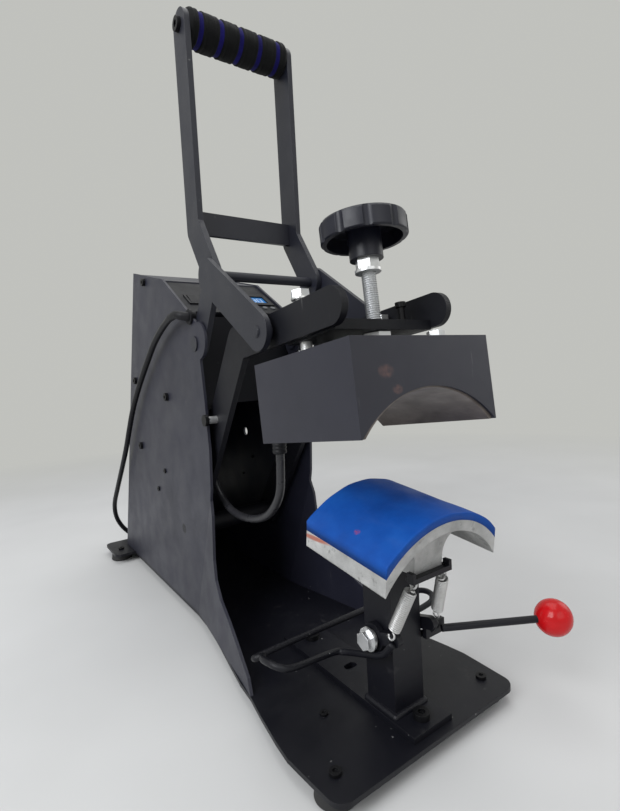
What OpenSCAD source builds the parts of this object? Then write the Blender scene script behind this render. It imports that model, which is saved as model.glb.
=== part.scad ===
// Cap heat press: a curved heated head on twin cranked arms closes over a curved lower platen.
// Twin handle bars and links form the toggle, a knob screw sets the pressure, and a sprung
// wire bail holds the cap. Millimetres, Z up, the front faces -Y, +X is the lever side.
// Origin: the middle of the four feet, on the bench.

/* [Base and feet] */
// Height of each rubber foot
foot_height = 12; // [8:0.5:20]
// Radius of each rubber foot
foot_radius = 16; // [12:0.5:20]
// Distance of the feet from the middle, sideways
foot_x = 82; // [70:1:84]
// Distance of the feet from the middle, front and back
foot_y = 295; // [285:1:300]
// Thickness of the base plate
base_t = 4; // [3:0.5:6]

/* [Side plates] */
// Distance from the middle to the inner face of each side plate
side_x = 63.5; // [63:0.1:66]
// Thickness of the side plates
side_t = 3; // [2:0.5:4]
// Thickness of the folded cover sheets
cover_t = 1.5; // [1:0.1:2]
// How far the control panel lies below the edges of the side plates
panel_recess = 3; // [2:0.5:6]

/* [Toggle] */
// Thickness of the handle bars
bar_t = 6; // [4:0.5:6]
// Width of the handle bars
bar_w = 30; // [26:1:32]
// Thickness of the toggle links
link_t = 5; // [4:0.5:6]
// Width of the toggle links
link_w = 33; // [24:1:34]
// Thickness of the cranked arms
arm_t = 6; // [5:0.5:7]
// Width of the arms' upper leg
arm_top_w = 28; // [26:1:30]
// Width of the arms' lower leg
arm_leg_w = 37; // [32:1:40]
// Side gap between a side plate and the handle bar next to it
bar_gap = 0.5; // [0.3:0.1:1]
// Side gap between a handle bar and the arm next to it
arm_gap = 0.3; // [0.3:0.1:0.6]
// Radius of the handle pivots, knee shaft and link pins
pin_r = 5; // [4:0.1:6]
// Radius of the arm pivot shaft
shaft_r = 6; // [5:0.1:8]
// Radial clearance of every running fit
run_fit = 0.07; // [0.03:0.01:0.1]

/* [Grip] */
// Radius of the foam grip
foam_r = 18; // [16:0.5:20]
// Radius of the rod inside the grip
grip_rod_r = 10; // [8:0.5:12]

/* [Heat head] */
// Width of the heat block cover
head_w = 140; // [136:1:150]
// Depth of the heat block cover
head_d = 126; // [115:1:126]
// Height of the heat block cover
head_h = 66; // [64:1:70]
// Sheet thickness of the heat block cover
head_t = 2; // [1:0.5:3]
// Radius of the arch cut in the cover
arch_r = 94; // [92:0.5:98]
// Height of the cover's arch
arch_rise = 30; // [28:0.5:33]
// Radius of the heating element's curved face
element_r = 86; // [85.5:0.1:88]
// Wall thickness of the heating element
element_t = 15; // [10:1:16]
// Front-up tilt of the open head in degrees
head_tilt = 5.9; // [5:0.1:7]

/* [Pressure screw] */
// Radius of the pressure screw
screw_r = 6; // [5:0.5:8]
// Radius of the knob
knob_r = 35; // [31:1:38]
// Height of the knob's rim
knob_rim_h = 16.5; // [14:0.5:20]
// Thickness of the cross plate that carries the screw
cross_t = 8; // [6:1:10]
// Clear height between the head and the cross plate
cross_gap = 12; // [11:0.5:14]

/* [Lower platen] */
// Outer radius of the silicone pad
pad_r = 84; // [82:0.5:85]
// Thickness of the silicone pad
pad_t = 6; // [4:0.5:8]
// Wall thickness of the cast platen
shell_t = 8; // [6:0.5:9]
// Distance from the middle to each end of the platen
platen_half_w = 58; // [54:1:60]
// Depth of the platen, front to back
platen_depth = 90; // [80:1:100]
// Width of the square post
post_w = 32; // [28:1:34]
// Width of the web under the platen
web_w = 30; // [26:1:32]

/* [Hold down] */
// Radius of the bail wire
wire_r = 2.8; // [2:0.1:3]
// Radius of the spring coils
spring_r = 5; // [4:0.1:5.5]
// Radius of the hold down's pivot bolt
hub_bolt_r = 4; // [3:0.1:5]
// Radius of the lever's ball
ball_r = 15; // [12:0.5:18]

/* [Hidden] */
$fn = 64;
eps = 0.01;
base_top = foot_height + base_t;
side_out = side_x + side_t;
bar_out = side_x - bar_gap;
bar_in = bar_out - bar_t;
arm_out = bar_in - arm_gap;
arm_in = arm_out - arm_t;
link_out = side_x + link_t;

// Pivots of the toggle as (Y, Z), and the points of the bars
handle_pivot = [-59.6, 332.4];
knee = [-103.2, 396.4];
link_eye = [-199.6, 330.8];
arm_pivot = [18.5, 112.7];
bar_bend = [-68, 452];
grip_mid = [-70, 653];
band_x = [-45, -22.5, 0, 22.5, 45];
band_w = 4;
band_depth = 1.8;
arm_front = [-284.5, 340];
arm_elbow = [-136, 324];
arm_bolt = [-79.3, 251];

// Base plate
base_front = -319;
base_corner_r = 12;
base_corner_x = 86;
ear_x = 97;
ear_front = 266;
ear_back = 342;
ear_r = 10;

// Side plates as (Y, Z)
crease_low = [-9, base_top];
crease_high = [-70, base_top + 147];
cover_top = [147, 448];
cover_knee = [31, 418];
panel_low = [-40, 372];
cover_foot = [317, base_top];
nub_mid = [-67, 335];
nub_r = 20;
cord_notch = [-52, 362];
notch_r = 6.5;
box_floor_z = 265;
box_front_y = -40;
cabinet_screws = [[100, 427], [176, 298], [43, 275], [173, 202]];
small_screws = [[74, 177], [107, 148]];
wing_tip = [90, -185];
wing_run = norm([wing_tip[0] - side_out, wing_tip[1] - crease_low[0]]);
wing_yaw = atan2(wing_tip[1] - crease_low[0], wing_tip[0] - side_out);
crease_along = (crease_high[0] - crease_low[0]) * (wing_tip[1] - crease_low[0]) / wing_run;
crease_in = (crease_high[0] - crease_low[0]) * (wing_tip[0] - side_out) / wing_run;
wing_lean = atan2(-crease_in, 147);
wing_rise = norm([crease_in, 147]);
panel_angle = atan2(cover_knee[1] - panel_low[1], cover_knee[0] - panel_low[0]);
panel_len = norm(cover_knee - panel_low);

// Heat head, in a frame at the middle of its bottom
head_mid = [-264.3, 243.8];
element_mid = arch_rise - 1 - element_r;
cross_low = head_h + cross_gap;
cross_front = -26;
cross_back = 38;
screw_y = -13;
guide_x = 42;
guide_y = 24;
guide_r = 5;
studs = [[-10, 40, 36], [46, -34, 24]];
stop_at = [34.7, -10];
knob_low = cross_low + 58.5;
hub_r = 13.5;
lobes = 10;

// Lower platen, in a frame at the middle of its crown
crown = [-289.9, 195.5];
platen_pitch = 7.6;
post_y = -272;
post_wall = 2.5;
web_front = -30;
web_back = 31;
web_low = 143;
foot_plate_w = 42;
foot_plate_t = 5;
foot_plate_front = -312;
foot_plate_back = -130;
foot_bolts = [-300, -152];
foot_plate_top = base_top + foot_plate_t;

// Hold down: pivot (Y, Z), hub plates and the path of the bail wire
hub_pivot = [-272, 82];
hub_in = post_w / 2 + 1;
hub_t = 5;
hub_out = hub_in + hub_t;
hub_arm = [-296, 89];
spring_x = 25;
spring_top_x = 16;
spring_top = [-314, 138.5];
spring_low = [-297, 94.5];
spring_run = [spring_x - spring_top_x, spring_low[0] - spring_top[0], spring_low[1] - spring_top[1]];
spring_len = norm(spring_run);
wire_x = hub_out + wire_r - 0.5;
bail_path = [
    [wire_x, -297, 88],
    [wire_x, -286, 75],
    [wire_x, -266, 66],
    [wire_x, -240, 56],
    [34, -233, 56],
    [77, -240, 64],
    [88, -237, 67],
    [92, -229, 68],
    [92, -218, 66],
    [87, -208, 62],
    [78, -200, 59]
];
lever_start = [38, -291, 80];
ball_mid = [115, -344, 79];

// Heater lead from the control box to the head
lead_r = 4;
lead_x = -44;
lead_route = [
    [lead_x, -22, 259],
    [lead_x, -22, 235],
    [lead_x, -24, 205],
    [lead_x, -34, 175],
    [lead_x, -56, 156],
    [lead_x, -86, 148],
    [lead_x, -122, 150],
    [lead_x, -156, 162],
    [lead_x, -178, 184],
    [lead_x, -184, 212],
    [lead_x, -184, 240]
];

// Mains cord: out of the notch, down the left side, over the bench to the coil and the plug
cord_r = 3.8;
cord_route = [
    [-60, -52, 362],
    [-69, -52, 362],
    [-75.5, -48, 363.5],
    [-78, -38, 365.5],
    [-78, -22, 364.5],
    [-77.5, -2, 360],
    [-77, 22, 352.5],
    [-76.5, 48, 341.5],
    [-76, 69, 330],
    [-76, 95, 313.5],
    [-76, 124, 294],
    [-76, 157, 269],
    [-76, 180, 248],
    [-76, 203, 223],
    [-76, 232, 191],
    [-76, 272, 153],
    [-76, 312, 116],
    [-76, 342, 86],
    [-73, 358, 62],
    [-66, 365, 42],
    [-54, 366, 24],
    [-38, 366, 10.5],
    [-20, 366, 4],
    [4, 366, 4],
    [28, 366, 4]
];
coil_mid = [32, 408];
coil_turn_r = 42;
coil_section_r = 9;
tail_route = [
    [34, 366, 4],
    [50, 366, 4],
    [64, 368, 4.4],
    [76, 374, 6],
    [86, 381, 9],
    [94, 384, 11],
    [99, 384, 11]
];
plug_mid = [118, 384, 14];

// Node to draw, or all of them

// Helpers

module plate_x(x0, t) {
    // A flat plate across X from its (Y, Z) outline
    translate([x0, 0, 0])
        rotate([90, 0, 90])
            linear_extrude(height = t)
                children();
}

module leg_2d(p, q, w) {
    // A flat bar with round ends at p and q, its straight edges just inside the round ends
    inset = 0.02;
    translate(p)
        rotate(atan2(q[1] - p[1], q[0] - p[0]))
            translate([0, inset - w / 2])
                square([norm(q - p), w - 2 * inset]);
    translate(p)
        circle(d = w);
    translate(q)
        circle(d = w);
}

module rod_x(x0, x1, r) {
    // A round rod along X
    translate([x0, 0, 0])
        rotate([0, 90, 0])
            cylinder(h = x1 - x0, r = r);
}

module at_yz(p) {
    translate([0, p[0], p[1]])
        children();
}

module both_sides() {
    children();
    mirror([1, 0, 0])
        children();
}

module rod_between(p, q, r) {
    // A straight rod from p to q with a round end at q
    d = q - p;
    translate(p)
        rotate([0, acos(d[2] / norm(d)), atan2(d[1], d[0])])
            cylinder(h = norm(d), r = r, $fn = 24);
    translate(q)
        sphere(r = r, $fn = 16);
}

module socket_bolt(head_r, head_h, shank_r, shank_len) {
    difference() {
        cylinder(h = head_h, r = head_r);
        translate([0, 0, head_h * 0.45])
            cylinder(h = head_h, d = head_r, $fn = 6);
    }
    translate([0, 0, -shank_len])
        cylinder(h = shank_len + eps, r = shank_r);
}

// Frames

module head_frame() {
    translate([0, head_mid[0], head_mid[1]])
        rotate([-head_tilt, 0, 0])
            children();
}

module platen_frame() {
    translate([0, crown[0], crown[1]])
        rotate([platen_pitch, 0, 0])
            children();
}

module panel_frame() {
    translate([0, panel_low[0], panel_low[1]])
        rotate([panel_angle, 0, 0])
            children();
}

// Swept tubes

function unit(v) = v / norm(v);
function flat(v, t) = unit(v - (v * t) * t);
function spline(a, b, c, d, u) =
    0.5 * (2 * b + (c - a) * u + (2 * a - 5 * b + 4 * c - d) * u * u
    + (3 * b - a - 3 * c + d) * u * u * u);
function smooth_route(p, n) = concat(
    [for (i = [0:len(p) - 2])
        for (k = [0:n - 1])
            spline(p[max(i - 1, 0)], p[i], p[i + 1], p[min(i + 2, len(p) - 1)], k / n)],
    [p[len(p) - 1]]
);
function along(p, i) = unit(p[min(i + 1, len(p) - 1)] - p[max(i - 1, 0)]);
function side_list(p, i, v) =
    i >= len(p) ? [] : concat([flat(v, along(p, i))], side_list(p, i + 1, flat(v, along(p, i))));

module tube_along(p, r, sides) {
    // A closed tube with one ring of points at each point of the route
    n = len(p);
    s = side_list(p, 0, [0.9, 0.1, 0.4]);
    rings = [for (i = [0:n - 1])
        for (k = [0:sides - 1])
            p[i] + r * (cos(360 * k / sides) * s[i] + sin(360 * k / sides) * cross(along(p, i), s[i]))];
    skin = [for (i = [0:n - 2])
        for (k = [0:sides - 1])
            [i * sides + k, (i + 1) * sides + k,
             (i + 1) * sides + (k + 1) % sides, i * sides + (k + 1) % sides]];
    start = [for (k = [0:sides - 1]) k];
    end = [for (k = [sides - 1:-1:0]) (n - 1) * sides + k];
    polyhedron(points = rings, faces = concat(skin, [start], [end]), convexity = 6);
}

// Base

module base_half_2d() {
    polygon([
        [0, base_front], [base_corner_x, base_front], [98, base_front + base_corner_r],
        [100, -278], [101, -262], [99, -242], [95, -214], [wing_tip[0], wing_tip[1]],
        [88, -161], [83, -131], [76, -91], [69.5, -50], [side_out, crease_low[0]],
        [side_out, ear_front + ear_r], [0, ear_front + ear_r]
    ]);
    translate([base_corner_x, base_front + base_corner_r])
        circle(r = base_corner_r);
    translate([0, ear_front + ear_r])
        square([ear_x, ear_back - ear_front - 2 * ear_r]);
    translate([0, ear_front])
        square([ear_x - ear_r, ear_back - ear_front]);
    for (y = [ear_front + ear_r, ear_back - ear_r])
        translate([ear_x - ear_r, y])
            circle(r = ear_r);
}

module base_plate() {
    color([0.09, 0.09, 0.1])
        translate([0, 0, foot_height])
            difference() {
                linear_extrude(height = base_t)
                    both_sides()
                        base_half_2d();
                for (x = [-foot_x, foot_x])
                    for (y = [-foot_y, foot_y])
                        translate([x, y, -1])
                            cylinder(h = base_t + 2, r = 2.6);
                for (y = foot_bolts)
                    translate([0, y, -1])
                        cylinder(h = base_t + 2, r = 4.1);
                for (p = [[-53, -243], [53, -243], [-40, 25], [40, 25]])
                    translate([p[0], p[1], -1])
                        cylinder(h = base_t + 2, r = 2.1);
            }
}

module rubber_feet() {
    color([0.06, 0.06, 0.06])
        for (x = [-foot_x, foot_x])
            for (y = [-foot_y, foot_y])
                translate([x, y, 0])
                    difference() {
                        union() {
                            cylinder(h = 2, r1 = foot_radius - 2, r2 = foot_radius);
                            translate([0, 0, 2 - eps])
                                cylinder(h = foot_height - 2 + eps, r1 = foot_radius, r2 = foot_radius - 1.5);
                        }
                        translate([0, 0, foot_height - 9])
                            cylinder(h = 10, r = 2.6);
                    }
}

// Cabinet

module side_outline_2d() {
    difference() {
        union() {
            polygon([
                crease_low, crease_high, [-73, 176], [-77, 219], [-75, 250], [-74, 272],
                [-70, 312], [-71, 319], [-66, 354], panel_low, cover_knee, cover_top, cover_foot
            ]);
            translate(nub_mid)
                circle(r = nub_r);
        }
        translate(handle_pivot)
            circle(r = pin_r + 0.05);
        translate(arm_pivot)
            circle(r = shaft_r + 0.05);
        for (p = cabinet_screws)
            translate(p)
                circle(r = 2.6);
        for (p = small_screws)
            translate(p)
                circle(r = 2.1);
        translate(cord_notch)
            circle(r = notch_r);
        translate([cord_notch[0] - notch_r, cord_notch[1]])
            square([2 * notch_r, 20]);
    }
}

module side_sheet() {
    // Right-hand sheet with its wing bent outwards in front of the crease
    difference() {
        union() {
            plate_x(side_x, side_t)
                side_outline_2d();
            translate([side_out, crease_low[0], base_top])
                rotate([90 + wing_lean, 0, wing_yaw])
                    linear_extrude(height = side_t)
                        polygon([
                            [-1.5, 0], [wing_run, 0], [170, 12], [145, 26], [115, 41],
                            [90, 51], [74, 65], [67.5, 85], [66.5, 107], [crease_along + 5, 132],
                            [crease_along, wing_rise], [crease_along - 1.6, wing_rise]
                        ]);
        }
        translate([0, -400, base_top - 30])
            cube([150, 800, 30]);
    }
}

module side_plate_right() {
    color([0.12, 0.12, 0.13])
        difference() {
            side_sheet();
            at_yz([92, 213.5])
                rod_x(side_x - 1, side_out + 1, 6);
        }
}

module side_plate_left() {
    color([0.12, 0.12, 0.13])
        mirror([1, 0, 0])
            side_sheet();
}

module cabinet_screw_set() {
    // Screws of the side plates, the feet and the base plate
    color([0.05, 0.05, 0.05]) {
        for (x = [-foot_x, foot_x])
            for (y = [-foot_y, foot_y])
                translate([x, y, base_top])
                    socket_bolt(4.5, 2.6, 2.5, base_t + 8);
        for (p = [[-53, -243], [53, -243], [-40, 25], [40, 25]])
            translate([p[0], p[1], base_top])
                socket_bolt(3.4, 1.8, 2, base_t);
        both_sides() {
            for (p = cabinet_screws)
                at_yz(p)
                    translate([side_out, 0, 0])
                        rotate([0, 90, 0])
                            socket_bolt(5, 4, 2.5, side_t + cover_t + 3);
            for (p = small_screws)
                at_yz(p)
                    translate([side_out, 0, 0])
                        rotate([0, 90, 0])
                            socket_bolt(3.2, 1.8, 2, side_t + 2);
        }
    }
}

function rear_y(z) = cover_top[0] + (cover_top[1] - z) * (cover_foot[0] - cover_top[0]) / (cover_top[1] - base_top);

module rear_cover() {
    // Sloping back sheet with side flanges and two fields of vent slots
    top_z = cover_top[1] - 3.3;
    color([0.1, 0.1, 0.11])
        difference() {
            union() {
                plate_x(-side_x, 2 * side_x)
                    polygon([
                        [rear_y(base_top), base_top], [rear_y(top_z), top_z],
                        [rear_y(top_z) - cover_t, top_z], [rear_y(base_top) - cover_t, base_top]
                    ]);
                both_sides()
                    plate_x(side_x - cover_t, cover_t)
                        polygon([
                            [rear_y(base_top), base_top], [rear_y(top_z - 12), top_z - 12],
                            [rear_y(top_z - 12) - 14, top_z - 12], [rear_y(base_top) - 14, base_top]
                        ]);
            }
            for (z = [330, 342, 354, 366, 378, 90, 102, 114, 126, 138])
                translate([-32, rear_y(z) - 12, z])
                    cube([64, 24, 4]);
        }
}

module top_cover() {
    // Lid from the back edge to the top of the control panel
    drop = 1;
    color([0.1, 0.1, 0.11])
        difference() {
            union() {
                plate_x(-side_x, 2 * side_x)
                    polygon([
                        [cover_top[0], cover_top[1] - drop],
                        [cover_knee[0] + 2, cover_knee[1] - drop],
                        [cover_knee[0] + 2, cover_knee[1] - drop - 2],
                        [cover_top[0] - 0.5, cover_top[1] - drop - 2]
                    ]);
                both_sides()
                    plate_x(side_x - cover_t, cover_t)
                        polygon([
                            [130, cover_top[1] - 8], [130, 420],
                            [56, 404], [56, 421]
                        ]);
            }
            both_sides()
                at_yz(cabinet_screws[0])
                    rod_x(side_x - 5, side_x + 1, 2.6);
        }
}

module control_box() {
    // Front wall and floor that close the space behind the control panel
    wall_top = panel_low[1] - 8;
    color([0.08, 0.08, 0.09])
        difference() {
            union() {
                plate_x(-side_x, 2 * side_x)
                    polygon([
                        [box_front_y, box_floor_z], [box_front_y, wall_top],
                        [box_front_y + cover_t, wall_top],
                        [box_front_y + cover_t, box_floor_z + cover_t],
                        [rear_y(box_floor_z) - 15, box_floor_z + cover_t],
                        [rear_y(box_floor_z) - 15, box_floor_z]
                    ]);
                both_sides()
                    plate_x(side_x - cover_t, cover_t)
                        translate([34, box_floor_z])
                            square([18, 20]);
            }
            translate([lead_x, -22, box_floor_z - 1])
                cylinder(h = cover_t + 2, r = 6.1);
            both_sides()
                at_yz(cabinet_screws[2])
                    rod_x(side_x - 5, side_x + 1, 2.6);
        }
}

module control_panel() {
    color([0.07, 0.07, 0.08])
        panel_frame()
            difference() {
                union() {
                    translate([-side_x, 1, -panel_recess - cover_t])
                        cube([2 * side_x, panel_len - 2, cover_t]);
                    translate([-side_x, 1, -panel_recess - 10])
                        cube([2 * side_x, cover_t, 10]);
                    both_sides()
                        translate([side_x - cover_t, 12, -panel_recess - 14])
                            cube([cover_t, 56, 14]);
                }
                translate([17, 26, -panel_recess - 5])
                    cube([40, 25, 10]);
                translate([-52, 22, -panel_recess - 5])
                    cube([13, 21, 10]);
                for (k = [0:3])
                    translate([20 + 11.3 * k, 16, -panel_recess - 5])
                        cylinder(h = 10, r = 3.2);
            }
}

module display_window() {
    color([0.15, 0.42, 0.85])
        panel_frame()
            translate([17.3, 26.3, -panel_recess - 4])
                cube([39.4, 24.4, 4]);
}

module display_bezel() {
    color([0.05, 0.05, 0.06])
        panel_frame()
            difference() {
                translate([14, 23, -panel_recess])
                    cube([46, 31, 1.6]);
                translate([20, 29, -panel_recess - 1])
                    cube([34, 19, 5]);
            }
}

module power_switch() {
    color([0.04, 0.04, 0.04])
        panel_frame()
            translate([-51.8, 22.2, -panel_recess - 14]) {
                cube([12.6, 20.6, 14]);
                translate([-1.7, -1.7, 14])
                    difference() {
                        cube([16, 24, 1.6]);
                        translate([2.6, 2.6, -1])
                            cube([10.8, 18.8, 4]);
                    }
                translate([1.3, 1.3, 13])
                    rotate([4, 0, 0])
                        cube([10, 17.6, 2.6]);
            }
}

module panel_keys() {
    color([0.3, 0.32, 0.35])
        panel_frame()
            for (k = [0:3])
                translate([20 + 11.3 * k, 16, -panel_recess - cover_t - 2])
                    cylinder(h = cover_t + 3.2, r = 3.1);
}

module cable_glands() {
    // Bush in the notch for the mains cord, and a gland in the floor for the heater lead
    color([0.05, 0.05, 0.05]) {
        mirror([1, 0, 0])
            at_yz(cord_notch)
                difference() {
                    union() {
                        rod_x(side_x - 2, side_out + 2, notch_r - 0.2);
                        rod_x(side_out + 0.4, side_out + 2.4, notch_r + 1.8);
                    }
                    rod_x(side_x - 6, side_out + 6, cord_r + 0.1);
                }
        translate([lead_x, -22, box_floor_z])
            difference() {
                union() {
                    translate([0, 0, -6])
                        cylinder(h = 6, r = 9);
                    translate([0, 0, -eps])
                        cylinder(h = cover_t + 3, r = 6);
                }
                translate([0, 0, -7])
                    cylinder(h = 14, r = lead_r + 0.1);
            }
    }
}

// Pivots on the side plates

module arm_pivot_shaft() {
    // Shaft with a collar on each side of the arms
    color([0.08, 0.08, 0.09])
        at_yz(arm_pivot) {
            rod_x(-side_out, side_out, shaft_r);
            both_sides()
                rod_x(arm_out + 0.3, side_x, shaft_r + 5);
        }
}

module handle_pins() {
    color([0.08, 0.08, 0.09])
        both_sides()
            at_yz(handle_pivot) {
                rod_x(bar_in - 2, side_out + 0.5, pin_r);
                rod_x(side_out, side_out + 1.5, pin_r + 3);
                rod_x(bar_in - 2.5, bar_in - 0.3, pin_r + 3);
            }
}

// Handle

module handle_bar() {
    plate_x(bar_in, bar_t)
        difference() {
            union() {
                leg_2d(handle_pivot, knee, bar_w);
                leg_2d(knee, bar_bend, bar_w);
                leg_2d(bar_bend, grip_mid, bar_w);
            }
            translate(handle_pivot)
                circle(r = pin_r + run_fit);
            translate(knee)
                circle(r = pin_r + 0.03);
            translate(grip_mid)
                circle(r = 4.1);
        }
}

module handle_bar_right() {
    color([0.1, 0.1, 0.11])
        handle_bar();
}

module handle_bar_left() {
    color([0.1, 0.1, 0.11])
        mirror([1, 0, 0])
            handle_bar();
}

module handle_cross_bar() {
    color([0.1, 0.1, 0.11])
        translate([-bar_in, -68, 446])
            cube([2 * bar_in, 5, 24]);
}

module knee_shaft() {
    color([0.1, 0.1, 0.11])
        at_yz(knee)
            rod_x(-link_out, link_out, pin_r);
}

module grip_rod() {
    color([0.35, 0.35, 0.36])
        at_yz(grip_mid)
            difference() {
                rod_x(-bar_in, bar_in, grip_rod_r);
                both_sides()
                    rod_x(bar_in - 22, bar_in + 1, 4.1);
            }
}

module foam_grip() {
    color([0.05, 0.05, 0.06])
        at_yz(grip_mid)
            difference() {
                union() {
                    rod_x(-bar_in + 2.5, bar_in - 2.5, foam_r);
                    rod_x(-bar_in, bar_in, foam_r - 2);
                }
                rod_x(-bar_in - 1, bar_in + 1, grip_rod_r);
                for (x = band_x)
                    difference() {
                        rod_x(x - band_w / 2, x + band_w / 2, foam_r + 2);
                        rod_x(x - band_w / 2 - 1, x + band_w / 2 + 1, foam_r - band_depth);
                    }
            }
}

module grip_screws() {
    color([0.25, 0.25, 0.26])
        both_sides()
            at_yz(grip_mid)
                translate([bar_out, 0, 0])
                    rotate([0, 90, 0])
                        socket_bolt(7, 4, 4, bar_t + 18);
}

// Links

module link() {
    plate_x(side_x, link_t)
        difference() {
            leg_2d(knee, link_eye, link_w);
            translate(knee)
                circle(r = pin_r + run_fit);
            translate(link_eye)
                circle(r = pin_r + 0.03);
        }
}

module link_right() {
    color([0.13, 0.13, 0.14])
        link();
}

module link_left() {
    color([0.13, 0.13, 0.14])
        mirror([1, 0, 0])
            link();
}

module link_pins() {
    // Each pin stops just short of the arm, where the toggle's loop is open
    color([0.13, 0.13, 0.14])
        both_sides()
            at_yz(link_eye) {
                rod_x(arm_out + 0.5, link_out + 0.5, pin_r);
                rod_x(arm_out + 0.5, side_x, pin_r + 3);
                rod_x(link_out, link_out + 1, pin_r - 1);
            }
}

// Arms

module arm() {
    plate_x(arm_in, arm_t)
        difference() {
            union() {
                leg_2d(arm_front, arm_elbow, arm_top_w);
                leg_2d(arm_elbow, arm_pivot, arm_leg_w);
            }
            translate(arm_pivot)
                circle(r = shaft_r + run_fit);
            translate(arm_bolt)
                circle(r = 4.1);
        }
}

module arm_right() {
    color([0.11, 0.11, 0.12])
        arm();
}

module arm_left() {
    color([0.11, 0.11, 0.12])
        mirror([1, 0, 0])
            arm();
}

module arm_tube() {
    color([0.2, 0.2, 0.21])
        at_yz(arm_pivot)
            difference() {
                rod_x(-arm_in, arm_in, shaft_r + 5);
                rod_x(-arm_in - 1, arm_in + 1, shaft_r + run_fit);
            }
}

module cross_plate() {
    // Plate between the arms, with running bores for the screw and the guide bolts
    color([0.08, 0.08, 0.09])
        head_frame()
            difference() {
                translate([-arm_in, cross_front, cross_low])
                    cube([2 * arm_in, cross_back - cross_front, cross_t]);
                translate([0, screw_y, cross_low - 1])
                    cylinder(h = cross_t + 2, r = screw_r + run_fit);
                for (x = [-guide_x, guide_x])
                    translate([x, guide_y, cross_low - 1])
                        cylinder(h = cross_t + 2, r = guide_r + run_fit);
                translate([stop_at[0], stop_at[1], cross_low - 1])
                    cylinder(h = cross_t + 2, r = 3.03);
            }
}

module arm_bolts() {
    // Stop bolts: black heads in front of the side plates, plated nuts inside the arms
    color([0.6, 0.6, 0.62])
        both_sides()
            at_yz(arm_bolt) {
                rod_x(arm_in - 7, side_out + 1, 4);
                rod_x(side_out + 0.5, side_out + 4.5, 6);
                difference() {
                    translate([arm_in - 6, 0, 0])
                        rotate([0, 90, 0])
                            cylinder(h = 6, d = 13 / cos(30), $fn = 6);
                    rod_x(arm_in - 9, arm_in - 7.5, 4.1);
                }
            }
}

module stop_screw() {
    color([0.06, 0.06, 0.07])
        head_frame()
            translate([stop_at[0], stop_at[1], cross_low]) {
                cylinder(h = cross_t + 15, r = 3);
                translate([0, 0, cross_t + 14])
                    cylinder(h = 4.3, r = 4.5);
            }
}

// Heat head

module arch_cut(r, mid, from, to) {
    translate([0, from, mid])
        rotate([-90, 0, 0])
            cylinder(h = to - from, r = r, $fn = 128);
}

module head_cover() {
    color([0.11, 0.11, 0.12])
        head_frame()
            difference() {
                translate([-head_w / 2, -head_d / 2, 0])
                    cube([head_w, head_d, head_h]);
                translate([-head_w / 2 + head_t, -head_d / 2 + head_t, -1])
                    cube([head_w - 2 * head_t, head_d - 2 * head_t, head_h - head_t + 1]);
                arch_cut(arch_r, arch_rise - arch_r, -head_d, head_d);
                for (p = studs)
                    translate([p[0], p[1], head_h - head_t - 1])
                        cylinder(h = head_t + 2, r = 4.1);
                for (x = [-guide_x, guide_x])
                    translate([x, guide_y, head_h - head_t - 1])
                        cylinder(h = head_t + 2, r = guide_r + 0.05);
                translate([lead_x, head_d / 2 - head_t - 1, 12])
                    rotate([-90, 0, 0])
                        cylinder(h = head_t + 2, r = 5.1);
            }
}

module heating_element() {
    // Cast element whose hollow face matches the lower platen
    inner_w = head_w - 2 * head_t - 1;
    inner_d = head_d - 2 * head_t - 1;
    color([0.42, 0.38, 0.35])
        head_frame()
            difference() {
                intersection() {
                    arch_cut(element_r + element_t, element_mid, -inner_d / 2, inner_d / 2);
                    translate([-inner_w / 2, -inner_d / 2, 0])
                        cube([inner_w, inner_d, head_h]);
                }
                arch_cut(element_r, element_mid, -head_d, head_d);
                for (p = studs)
                    translate(p)
                        cylinder(h = 40, r = 4.05);
            }
}

module insulation_pad() {
    inner_w = head_w - 2 * head_t - 1;
    inner_d = head_d - 2 * head_t - 1;
    low = arch_rise - 1 + element_t;
    color([0.85, 0.82, 0.72])
        head_frame()
            difference() {
                translate([-inner_w / 2, -inner_d / 2, low])
                    cube([inner_w, inner_d, head_h - head_t - low]);
                for (p = studs)
                    translate([p[0], p[1], low - 1])
                        cylinder(h = 30, r = 4.3);
                for (x = [-guide_x, guide_x])
                    translate([x, guide_y, low - 1])
                        cylinder(h = 30, r = guide_r + 0.3);
            }
}

module head_studs() {
    // Studs in the element, with a washer and nut on the cover
    color([0.72, 0.72, 0.74])
        head_frame()
            for (p = studs)
                translate([p[0], p[1], 0]) {
                    translate([0, 0, p[2]])
                        cylinder(h = head_h - p[2] + 10, r = 4);
                    translate([0, 0, head_h])
                        cylinder(h = 2, r = 10);
                    translate([0, 0, head_h + 2])
                        cylinder(h = 7, d = 13 / cos(30), $fn = 6);
                }
}

module guide_bolt(x, head_low) {
    translate([x, guide_y, 0]) {
        translate([0, 0, head_h - head_t - 8])
            cylinder(h = head_low - head_h + head_t + 9, r = guide_r);
        translate([0, 0, head_h])
            cylinder(h = 5, d = 14 / cos(30), $fn = 6);
        translate([0, 0, head_low])
            cylinder(h = 1.5, r = 8);
        translate([0, 0, head_low + 1.5])
            cylinder(h = 6, d = 14 / cos(30), $fn = 6);
    }
}

module guide_bolts() {
    // Bolts fixed in the head that slide through the cross plate, the left one longer
    color([0.72, 0.72, 0.74])
        head_frame() {
            guide_bolt(-guide_x, cross_low + cross_t + 26.5);
            guide_bolt(guide_x, cross_low + cross_t + 7);
        }
}

module thrust_nut() {
    color([0.72, 0.72, 0.74])
        head_frame()
            translate([0, screw_y, head_h])
                difference() {
                    union() {
                        cylinder(h = 2, r = 15);
                        cylinder(h = 11.2, d = 21 / cos(30), $fn = 6);
                    }
                    translate([0, 0, 1.5])
                        cylinder(h = 12, r = screw_r + run_fit);
                }
}

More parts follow.
